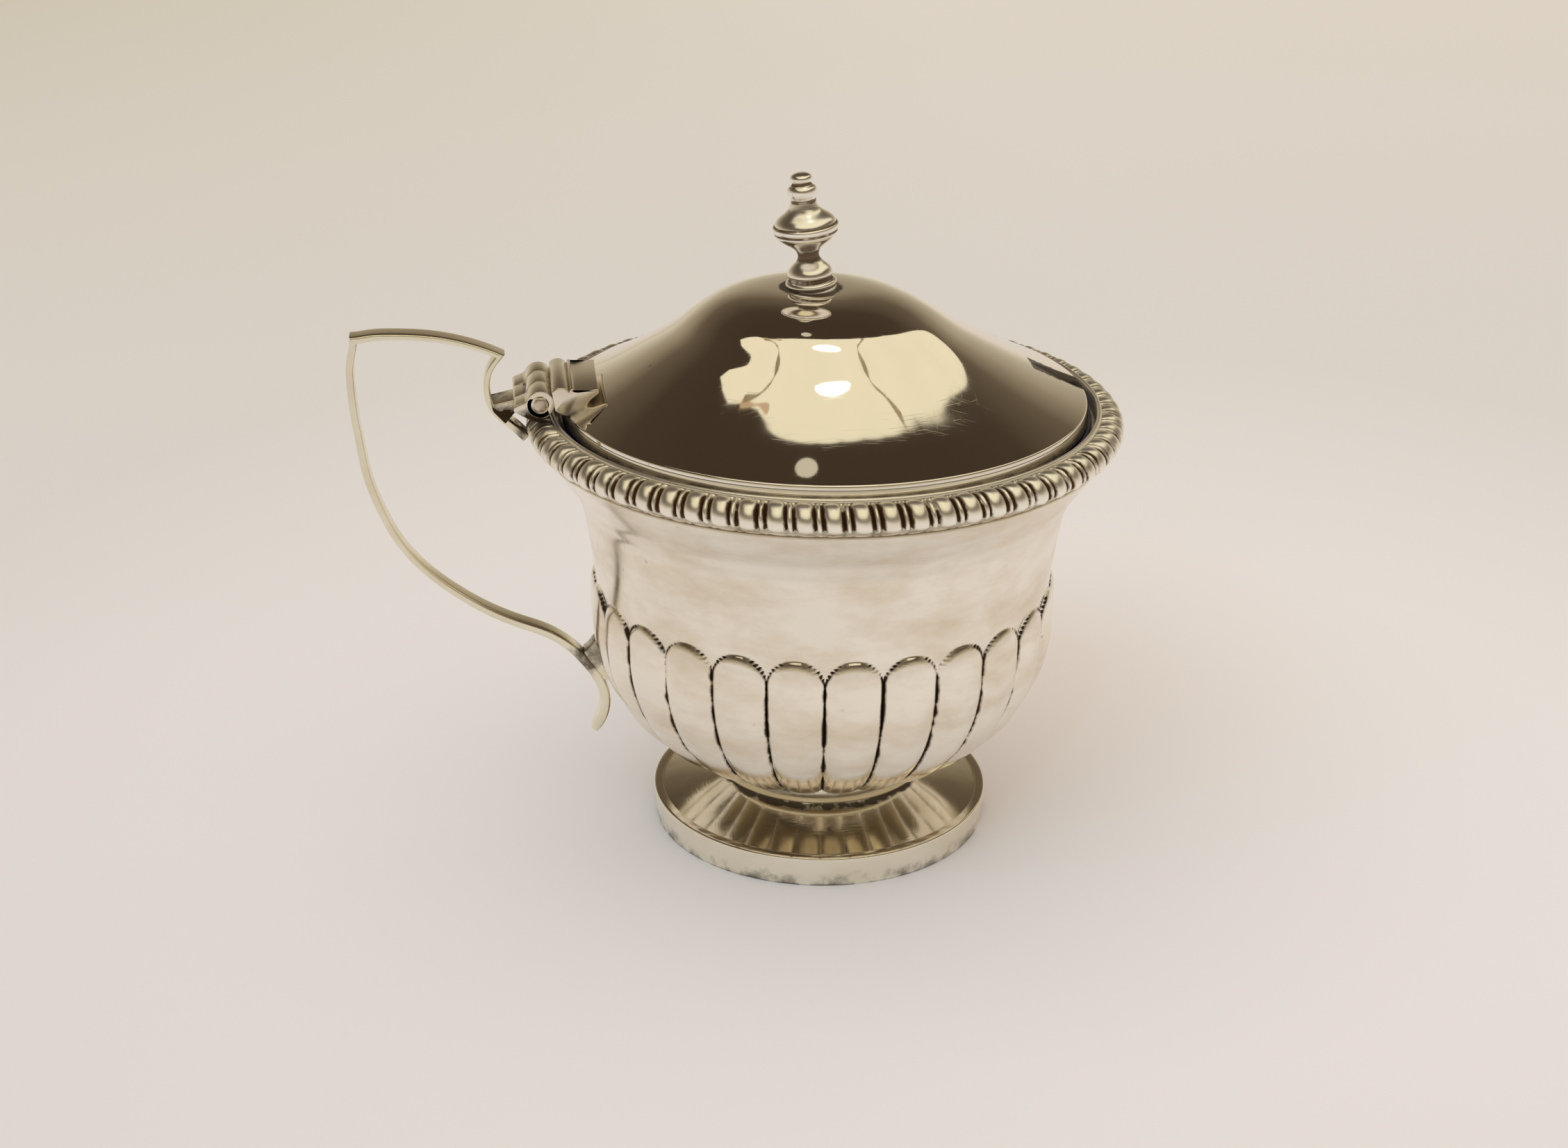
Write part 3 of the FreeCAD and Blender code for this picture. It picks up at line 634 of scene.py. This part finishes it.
def bezel_piece():
    """The band under the lid's edge: its section turned from one side of the slot round to
    the other, with both ends closed."""
    top, low = LID_LOW + 0.01, 51.45
    section = softened([(BEZEL_IN, top), (BEZEL_IN, low), (29.95, low), (29.72, top)],
                       [0.05, 0.1, 0.15, 0.05], 5)
    half = math.asin(SLOT_HALF / 28.9)
    ang = np.linspace(half, 2 * np.pi - half, 360)
    grid = round_points(section, ang)
    rows, cols = grid.shape[:2]
    faces = quads(rows, cols, close_rows=True, close_cols=False)
    faces.append([i * cols for i in range(rows)])
    faces.append([i * cols + cols - 1 for i in range(rows)][::-1])
    v = grid.reshape(-1, 3)
    # The band's lowest 0.3 mm, down in the gap under the lid's edge, is darkened: painted shade
    tarnish_and_shade = np.clip((51.75 - v[:, 2]) / 0.3, 0, 1) * 0.9
    return mesh_piece("bezel_band", v, faces, "lid", "lid_bezel",
                      {"tarnish_and_shade": tarnish_and_shade}, sharp=50)


# Finial

FINIAL = [(2.84, 0.0), (2.84, 0.35), (2.88, 0.62), (2.62, 0.92), (2.3, 1.12), (2.3, 1.25),
          (2.52, 1.5), (2.5, 1.95), (2.2, 2.4), (1.72, 2.85), (1.3, 3.3), (1.17, 3.75),
          (1.3, 4.25), (1.8, 4.8), (2.7, 5.45), (3.4, 6.05), (3.55, 6.35), (3.5, 6.55),
          (3.68, 6.75), (3.72, 7.0), (3.66, 7.25), (3.5, 7.38), (3.42, 7.55), (3.05, 8.05),
          (2.3, 8.6), (1.72, 9.15), (1.52, 9.6), (1.42, 10.05), (1.5, 10.35), (1.63, 10.75),
          (1.66, 11.1), (1.5, 11.5), (1.12, 11.8), (1.02, 11.95), (1.14, 12.15), (1.24, 12.4),
          (1.16, 12.7), (0.8, 12.97), (0.4, 13.08), (0, 13.1)]
FINIAL_LEAN = math.radians(-6.0)
FINIAL_SINK = -0.25         # its base runs this far into the crown


def finial_piece():
    """The finial: a fine outline turned about its own line, which leans toward the hinge.
    Hollows, where the outline bends outward, hold tarnish."""
    line = spline(FINIAL, 300)
    line[:, 0] = np.maximum(line[:, 0], 0)
    base = [(0, FINIAL_SINK), (FINIAL[0][0], FINIAL_SINK)]
    line = np.concatenate([base, line[:-1], FINIAL[-1:]])
    cols = 96
    v, f = turned(line, cols, closed=False)
    row = np.arange(len(line) - 2).repeat(cols)
    bend = np.gradient(np.gradient(line[1:-1, 0]))
    waist = np.clip(bend / 0.004, 0, 1)
    tarnish_and_shade = np.concatenate([waist[row] * 0.8, [0, 0]])
    c, s = math.cos(FINIAL_LEAN), math.sin(FINIAL_LEAN)
    x = v[:, 0] * c + v[:, 2] * s
    z = -v[:, 0] * s + v[:, 2] * c
    z = np.where(v[:, 2] < 0.1, np.maximum(z, -0.35), z)
    v = np.stack([x - DOME_LEAN, v[:, 1], z + LID_TOP], 1)
    return mesh_piece("finial_turned", v, f, "lid", "finial",
                      {"tarnish_and_shade": tarnish_and_shade}, sharp=60)


# Glass liner

GLASS_T = 1.6
GLASS_R = 17.0              # radius of the lower arc's outside
GLASS_BASE = 11.8
GLASS_NECK = [(25.0, ARC_Z), (25.3, 33.0), (25.8, 41.2), (28.7, 49.3)]
GLASS_FLANGE = [(28.7, 49.3), (28.7, 50.3), (30.3, 50.3), (30.3, 51.3), (27.1, 51.3),
                (27.1, 49.3)]


def glass_side(off):
    """One side of the glass, off in from its outside: an arc, then the flaring neck."""
    radius = GLASS_R - off
    low = math.degrees(math.asin((ARC_Z - GLASS_BASE - off) / radius))
    neck = spline(np.array(GLASS_NECK) - (off, 0), 40, first=(0, 1))
    return np.concatenate([arc((ARC_X, ARC_Z), radius, -low, 0, 30), neck[1:]])


def liner_piece():
    """The glass cup: outside and inside outlines turned about the axis, open at the top."""
    flange = softened(GLASS_FLANGE, [0, 0.15, 0.3, 0.35, 0.5, 0], 6, closed=False)
    low, high = GLASS_BASE, GLASS_BASE + GLASS_T
    line = np.concatenate([[(0, low), (6, low)], glass_side(0), flange[1:-1],
                           glass_side(GLASS_T)[::-1], [(6, high), (0, high)]])
    v, f = turned(line, 192, closed=False)
    return mesh_piece("liner_cup", v, f, "pot", "glass_liner",
                      {"tarnish_and_shade": np.zeros(len(v))}, sharp=50)


bowl_piece()
border_piece()
rim_wire_piece()
foot_pieces()
handle_piece()
hinge_pieces()
lid_piece()
bezel_piece()
finial_piece()
liner_piece()


# Finishes

def feed(tree, socket, value):
    """Link an output to an input, or set the input to a plain value."""
    if isinstance(value, bpy.types.NodeSocket):
        tree.links.new(value, socket)
    else:
        socket.default_value = value


def add(tree, kind, **inputs):
    """A shader node. Keys that start with a capital are its inputs, the others its settings."""
    node = tree.nodes.new(kind)
    for key, value in inputs.items():
        if key[0].isupper():
            feed(tree, node.inputs[key.replace("_", " ")], value)
        else:
            setattr(node, key, value)
    return node


def maths(tree, operation, *values, clamp=False):
    """One sum on plain values or outputs."""
    node = add(tree, "ShaderNodeMath", operation=operation, use_clamp=clamp)
    for socket, value in zip(node.inputs, values):
        feed(tree, socket, value)
    return node.outputs[0]


def blend(tree, factor, a, b):
    """A colour between a and b."""
    node = add(tree, "ShaderNodeMix", data_type="RGBA")
    for i, value in ((0, factor), (6, a), (7, b)):
        feed(tree, node.inputs[i], value)
    return node.outputs[2]


def ranged(tree, value, low, high, to_low=0.0, to_high=1.0):
    """A value that runs from to_low to to_high as the given one runs from low to high, and
    stays at either end beyond."""
    return add(tree, "ShaderNodeMapRange", Value=value, From_Min=low, From_Max=high,
               To_Min=to_low, To_Max=to_high).outputs[0]


def noise(tree, place, scale, detail, rough=0.5):
    """A cloudy value round one half."""
    return add(tree, "ShaderNodeTexNoise", Vector=place, Scale=scale, Detail=detail,
               Roughness=rough).outputs["Fac"]


def new_material(name):
    """A material with its nodes and its main shader."""
    mat = bpy.data.materials.new(name)
    mat.use_nodes = True
    return mat, mat.node_tree, mat.node_tree.nodes["Principled BSDF"]


HAIRS = [((0.3, 0.9, 0.2), (1, 40, 1)), ((1.2, 0.1, 0.8), (40, 1, 1)),
         ((0.5, 0.4, 1.9), (1, 1, 40))]          # turn and stretch of each set of scratches


def wear_group():
    """Shared wear: broad smears, a cloudy film, fine hair scratches, specks, and tarnish held
    in recesses, together with painted shade under and between some parts, which the recess mark
    also holds.
    Recess times an uneven noise, cut to a narrow range, gives the tarnish and the painted
    shade;
    stretched noise above a limit gives the hairs."""
    g = bpy.data.node_groups.new("silver_wear", "ShaderNodeTree")
    face = g.interface
    for name, default in (("Recess", 0.0), ("Grain", 1.0), ("Tarnish", 1.0)):
        s = face.new_socket(name, in_out="INPUT", socket_type="NodeSocketFloat")
        s.default_value = default
    for name in ("Stain", "Smear", "Cloud", "Scratch height", "Broad height"):
        face.new_socket(name, in_out="OUTPUT", socket_type="NodeSocketFloat")
    given = g.nodes.new("NodeGroupInput").outputs
    result = g.nodes.new("NodeGroupOutput").inputs
    place = add(g, "ShaderNodeTexCoord").outputs["Object"]

    hair = 0.0
    for turn, stretch in HAIRS:
        drawn = add(g, "ShaderNodeMapping", Vector=place, Rotation=turn, Scale=stretch)
        cut = ranged(g, noise(g, drawn.outputs[0], 260.0, 1.0), 0.66, 0.74)
        hair = maths(g, "MAXIMUM", hair, cut)
    feed(g, result["Scratch height"], maths(g, "MULTIPLY", hair, given["Grain"]))

    drawn = add(g, "ShaderNodeMapping", Vector=place, Scale=(1, 1, 2.2))
    cloud = ranged(g, noise(g, drawn.outputs[0], 85.0, 7.0, 0.66), 0.42, 0.68)
    feed(g, result["Cloud"], maths(g, "MULTIPLY", cloud, given["Grain"], clamp=True))

    broad = noise(g, place, 70.0, 3.0)
    feed(g, result["Smear"], maths(g, "MULTIPLY", broad, given["Grain"]))
    feed(g, result["Broad height"], broad)

    patch = noise(g, place, 330.0, 3.0, 0.6)
    fine = maths(g, "MULTIPLY", noise(g, place, 900.0, 4.0, 0.6), 0.35)
    uneven = ranged(g, maths(g, "ADD", patch, fine), 0.46, 0.84, 0.12, 1.6)
    # Recess holds tarnish in hollows and painted shade under and between parts; both darken
    # here
    held = ranged(g, maths(g, "MULTIPLY", given["Recess"], uneven), 0.22, 0.62)
    cells = add(g, "ShaderNodeTexVoronoi", Vector=place, Scale=330.0).outputs["Distance"]
    speck = maths(g, "MULTIPLY", ranged(g, cells, 0.1, 0.04), ranged(g, broad, 0.56, 0.66))
    dark = maths(g, "MAXIMUM", held, maths(g, "MULTIPLY", speck, 0.5))
    feed(g, result["Stain"], maths(g, "MULTIPLY", dark, given["Tarnish"], clamp=True))
    return g


WEAR = wear_group()


def shaded(tint, red, green, blue):
    """A colour as shares of a tint."""
    return (tint[0] * red, tint[1] * green, tint[2] * blue, 1)


def silver(name, tint, gloss, grain, tarnish, ripple, film, dark=(0.055, 0.035, 0.02, 1)):
    """Polished silver: a tint that warms in smears, dulls under a film by the given share and
    turns dark with tarnish in the recesses and with painted shade where the mark holds it.
    gloss is the least roughness, grain and tarnish scale the wear, and ripple is how far the
    broad unevenness bends a reflection."""
    mat, t, shader = new_material(name)
    recess = add(t, "ShaderNodeAttribute", attribute_name="tarnish_and_shade").outputs["Fac"]
    w = add(t, "ShaderNodeGroup", node_tree=WEAR, Recess=recess, Grain=grain,
            Tarnish=tarnish).outputs
    warm = blend(t, w["Smear"], shaded(tint, 1, 1, 1), shaded(tint, 0.97, 0.94, 0.88))
    hazy = blend(t, maths(t, "MULTIPLY", w["Cloud"], film), warm,
                 shaded(tint, 0.80, 0.72, 0.60))
    rough = ranged(t, w["Smear"], 0.0, 1.0, gloss, gloss + 0.05)
    rough = maths(t, "MULTIPLY_ADD", w["Cloud"], 0.1 * film, rough)
    rough = maths(t, "MULTIPLY_ADD", w["Stain"], 0.4, rough)
    waves = add(t, "ShaderNodeBump", Strength=ripple, Distance=0.001, Height=w["Broad height"])
    cuts = add(t, "ShaderNodeBump", Strength=0.06, Distance=0.0001,
               Height=w["Scratch height"], Normal=waves.outputs[0])
    feed(t, shader.inputs["Metallic"], 1.0)
    # The base colour goes dark with tarnish and with painted shade
    feed(t, shader.inputs["Base Color"], blend(t, w["Stain"], hazy, dark))
    feed(t, shader.inputs["Roughness"], rough)
    feed(t, shader.inputs["Normal"], cuts.outputs[0])
    return mat


def cobalt():
    """Deep blue glass whose colour, roughness and surface drift in one soft noise."""
    mat, t, shader = new_material("cobalt_glass")
    place = add(t, "ShaderNodeTexCoord").outputs["Object"]
    streak = noise(t, place, 60.0, 2.0)
    bump = add(t, "ShaderNodeBump", Strength=0.05, Distance=0.001, Height=streak)
    feed(t, shader.inputs["Transmission Weight"], 0.9)
    feed(t, shader.inputs["IOR"], 1.52)
    feed(t, shader.inputs["Base Color"],
         blend(t, streak, (0.004, 0.01, 0.16, 1), (0.008, 0.02, 0.26, 1)))
    feed(t, shader.inputs["Roughness"], ranged(t, streak, 0.0, 1.0, 0.02, 0.09))
    feed(t, shader.inputs["Normal"], bump.outputs[0])
    return mat


BROWN = (0.15, 0.085, 0.04, 1)
BODY = silver("silver_body_finish", (0.94, 0.90, 0.83), 0.12, 0.9, 1.0, 0.15, 1.0)
BORDER = silver("silver_border_finish", (0.97, 0.94, 0.86), 0.3, 0.6, 1.0, 0.05, 0.4, BROWN)
FOOT = silver("silver_foot_finish", (0.92, 0.88, 0.77), 0.09, 0.7, 0.9, 0.1, 0.5)
HANDLE = silver("silver_handle_finish", (0.88, 0.84, 0.70), 0.14, 0.7, 0.8, 0.08, 0.6)
HINGE = silver("silver_hinge_finish", (0.90, 0.86, 0.78), 0.18, 0.9, 1.0, 0.06, 0.6)
PIN_WIRE = silver("silver_pin_finish", (0.7, 0.63, 0.55), 0.3, 1.0, 0.6, 0.05, 0.5)
LID_SKIN = silver("silver_lid_finish", (0.93, 0.885, 0.81), 0.035, 0.03, 0.9, 0.005, 0.9)
KNOB = silver("silver_finial_finish", (0.97, 0.94, 0.88), 0.2, 0.4, 0.9, 0.02, 0.2, BROWN)
GLASS = cobalt()

FINISH = {
    "bowl_raised": BODY, "border_of_beads": BORDER, "rim_wire_round": BORDER,
    "collar_ring": FOOT, "foot_spread": FOOT, "band_upright": FOOT, "handle_strap": HANDLE,
    "hinge_half_on_pot": HINGE, "hinge_half_on_lid": HINGE, "pin_wire": PIN_WIRE,
    "lid_domed": LID_SKIN, "bezel_band": LID_SKIN, "finial_turned": KNOB, "liner_cup": GLASS,
}
for name, mat in FINISH.items():
    me = bpy.data.objects[name].data
    me.materials.clear()
    me.materials.append(mat)


# Table, room and lights

def table_with_painted_falloff():
    """A wide pale table top. Its colour drifts from cream near by to yellow-grey far off; it is
    also painted darker far off, most of all to the left, and a little darker away from the pot:
    painted falloff of the light."""
    me = bpy.data.meshes.new("table_top")
    half = 6.0
    me.from_pydata([(-half, -half, 0), (half, -half, 0), (half, half, 0), (-half, half, 0)],
                   [], [(0, 1, 2, 3)])
    ob = placed("table_top", me)
    mat, t, shader = new_material("pale_table_painted_falloff")
    place = add(t, "ShaderNodeTexCoord").outputs["Object"]
    xyz = add(t, "ShaderNodeSeparateXYZ", Vector=place).outputs
    near = blend(t, noise(t, place, 9.0, 2.0), (0.80, 0.745, 0.69, 1), (0.82, 0.76, 0.705, 1))
    # Painted falloff of the light: darker away from a point beside the pot
    away = add(t, "ShaderNodeVectorMath", operation="DISTANCE")
    feed(t, away.inputs[0], place)
    feed(t, away.inputs[1], (0.03, 0.01, 0.0))
    away = ranged(t, away.outputs["Value"], 0.07, 0.17)
    near = blend(t, away, near, (0.70, 0.645, 0.59, 1))
    # Far off the table turns yellower and is painted darker, darkest to the left: painted
    # falloff of the light
    distant = blend(t, ranged(t, xyz["X"], -0.2, 0.1), (0.62, 0.565, 0.45, 1),
                    (0.75, 0.69, 0.595, 1))
    feed(t, shader.inputs["Base Color"],
         blend(t, ranged(t, xyz["Y"], 0.05, 0.6), near, distant))
    feed(t, shader.inputs["Specular IOR Level"], 0.0)
    feed(t, shader.inputs["Roughness"], 0.9)
    me.materials.append(mat)


def glow_card(name, outline, height, colour, strength=1.0):
    """A flat glowing card above the pot that only polished metal and glass see."""
    p = spline(list(outline) + [outline[0]], 90)
    me = bpy.data.meshes.new(name)
    me.from_pydata([(x, y, height) for x, y in p[:-1]], [], [list(range(len(p) - 1))])
    ob = placed(name, me)
    mat, t = new_material(name + "_glow")[:2]
    t.nodes.clear()
    place = add(t, "ShaderNodeTexCoord").outputs["Object"]
    uneven = blend(t, noise(t, place, 6.0, 3.0), shaded(colour, 1, 1, 1),
                   shaded(colour, 0.9, 0.9, 0.9))
    glow = add(t, "ShaderNodeEmission", Color=uneven, Strength=strength)
    add(t, "ShaderNodeOutputMaterial", Surface=glow.outputs[0])
    me.materials.append(mat)
    ob.visible_camera = False
    ob.visible_diffuse = False
    ob.visible_shadow = False


def key_lamp():
    """A square soft lamp, high on the left, that polished metal doesn't mirror."""
    data = bpy.data.lights.new("key_soft", "AREA")
    data.size = 1.5
    data.energy = 11.0
    data.color = (0.375, 0.708, 1.0)
    ob = placed("key_soft", data)
    ob.location = (-0.98, -1.06, 1.33)
    ob.rotation_mode = "QUATERNION"
    ob.rotation_quaternion = Vector((0.98, 1.06, -1.31)).to_track_quat("-Z", "Y")
    ob.visible_glossy = False


ROOM = [(0.0, (0.64, 0.58, 0.45)), (0.09, (0.50, 0.44, 0.33)), (0.26, (0.32, 0.26, 0.18)),
        (0.42, (0.13, 0.098, 0.062)), (0.64, (0.06, 0.042, 0.026)),
        (0.85, (0.052, 0.035, 0.022))]           # the room's colour against height in the sky


def room_light():
    """The world. What metal mirrors is a dim brown room, paler low down all round; what
    lights the table is one even warm glow."""
    world = bpy.data.worlds.new("room")
    bpy.context.scene.world = world
    world.use_nodes = True
    t = world.node_tree
    t.nodes.clear()
    way = add(t, "ShaderNodeTexCoord").outputs["Generated"]
    xyz = add(t, "ShaderNodeSeparateXYZ", Vector=way).outputs
    wander = 0.12
    up = maths(t, "MULTIPLY_ADD", noise(t, way, 2.6, 3.0), wander, xyz["Z"])
    ramp = add(t, "ShaderNodeValToRGB", Fac=maths(t, "SUBTRACT", up, wander / 2))
    stops = ramp.color_ramp.elements
    while len(stops) < len(ROOM):
        stops.new(0.5)
    for stop, (position, colour) in zip(stops, ROOM):
        stop.position = position
        stop.color = colour + (1,)
    path = add(t, "ShaderNodeLightPath").outputs
    seen = maths(t, "MAXIMUM", path["Is Camera Ray"], path["Is Glossy Ray"])
    seen = maths(t, "MAXIMUM", seen, path["Is Transmission Ray"])
    colour = blend(t, seen, (0.94, 0.88, 0.83, 1), ramp.outputs[0])
    glow = add(t, "ShaderNodeBackground", Color=colour, Strength=1.0)
    add(t, "ShaderNodeOutputWorld", Surface=glow.outputs[0])


CARD_Z = 0.6
LID_MIDDLE = (0.0, -0.017, 0.058)
CHART_SCALE = 3.46


def card_xy(points):
    """Card corners from points on a flat chart of the sky: how far a point is from the
    chart's centre gives its angle from straight up (CHART_SCALE to a degree), and its bearing
    on the chart is its bearing seen from the lid's middle."""
    p = np.array(points, float)
    angle = np.radians(np.hypot(p[:, 0], p[:, 1]) / CHART_SCALE)
    bearing = np.arctan2(p[:, 1], p[:, 0])
    reach = np.tan(angle) * (CARD_Z - LID_MIDDLE[2])
    return np.stack([LID_MIDDLE[0] + reach * np.cos(bearing),
                     LID_MIDDLE[1] + reach * np.sin(bearing)], 1)


def strip(points, width):
    """A chart outline round a line: the line's points moved half a width to each side."""
    one = inset(points, width / 2)
    two = inset(points, -width / 2)
    return np.concatenate([one, two[::-1]])


def oval(x, y, wide, high, step):
    """A chart outline round (x, y): a point on the ellipse at every step degrees."""
    a = np.radians(np.arange(0, 360, step))
    return np.stack([x + wide * np.cos(a), y + high * np.sin(a)], 1)


CREAM = [(-100, 80), (-88, 77), (-76, 71), (-68, 61), (-55, 51), (-40, 47), (-13, 41),
         (14, 38), (36, 40), (60, 48), (78, 57), (98, 75), (113, 92), (124, 111), (131, 128),
         (138, 146), (152, 163), (170, 160), (174, 110), (164, 20), (145, -60), (100, -130),
         (0, -165), (-90, -130), (-125, -60), (-100, 0), (-95, 30), (-104, 66)]
LEFT_SASH = strip([(-66, 57), (-58, 45), (-54, 30), (-56, 12), (-62, -5)], 2.2)
RIGHT_SASH = strip([(74, 53), (71, 44), (67, 33), (66, 15), (70, 0)], 2.2)
RUSSET = strip([(-66, 60), (-58, 52), (-50, 46), (-42, 43)], 2.5)

table_with_painted_falloff()
room_light()
glow_card("cream_card", card_xy(CREAM), CARD_Z, (0.92, 0.83, 0.60))
glow_card("sash_left", card_xy(LEFT_SASH), CARD_Z - 0.004, (0.30, 0.22, 0.12))
glow_card("sash_right", card_xy(RIGHT_SASH), CARD_Z - 0.004, (0.36, 0.27, 0.15))
glow_card("russet_edge", card_xy(RUSSET), CARD_Z - 0.002, (0.58, 0.40, 0.24))
glow_card("pale_spot", card_xy(oval(-3, 56, 7, 8, 24)), CARD_Z, (0.62, 0.55, 0.42))
glow_card("lamp_spot", card_xy(oval(19, 13, 21, 8, 20)), CARD_Z - 0.01, (1.0, 0.97, 0.92), 2.2)
key_lamp()

# Camera: where it stands and the directions it faces, fitted to the pot's rings in the photo
PHOTO_WIDTH = 2257
FOCAL = 3500                # in the photo's pixels
SENSOR = 36.0
cam = bpy.data.cameras.new("camera")
cam.sensor_width = SENSOR
cam.lens = FOCAL / PHOTO_WIDTH * SENSOR
cam.clip_start = 0.01
cam.clip_end = 50
eye = placed("camera", cam)
right = (0.99288, -0.11888, 0.00778)
up = (0.04018, 0.39556, 0.91756)
ahead = (0.11216, 0.91071, -0.39752)
stand = (-0.036501, -0.259716, 0.144049)
eye.matrix_world = Matrix([(right[i], up[i], -ahead[i], stand[i]) for i in range(3)]
                          + [(0, 0, 0, 1)])
bpy.context.scene.camera = eye
bpy.context.scene.view_settings.view_transform = "Standard"
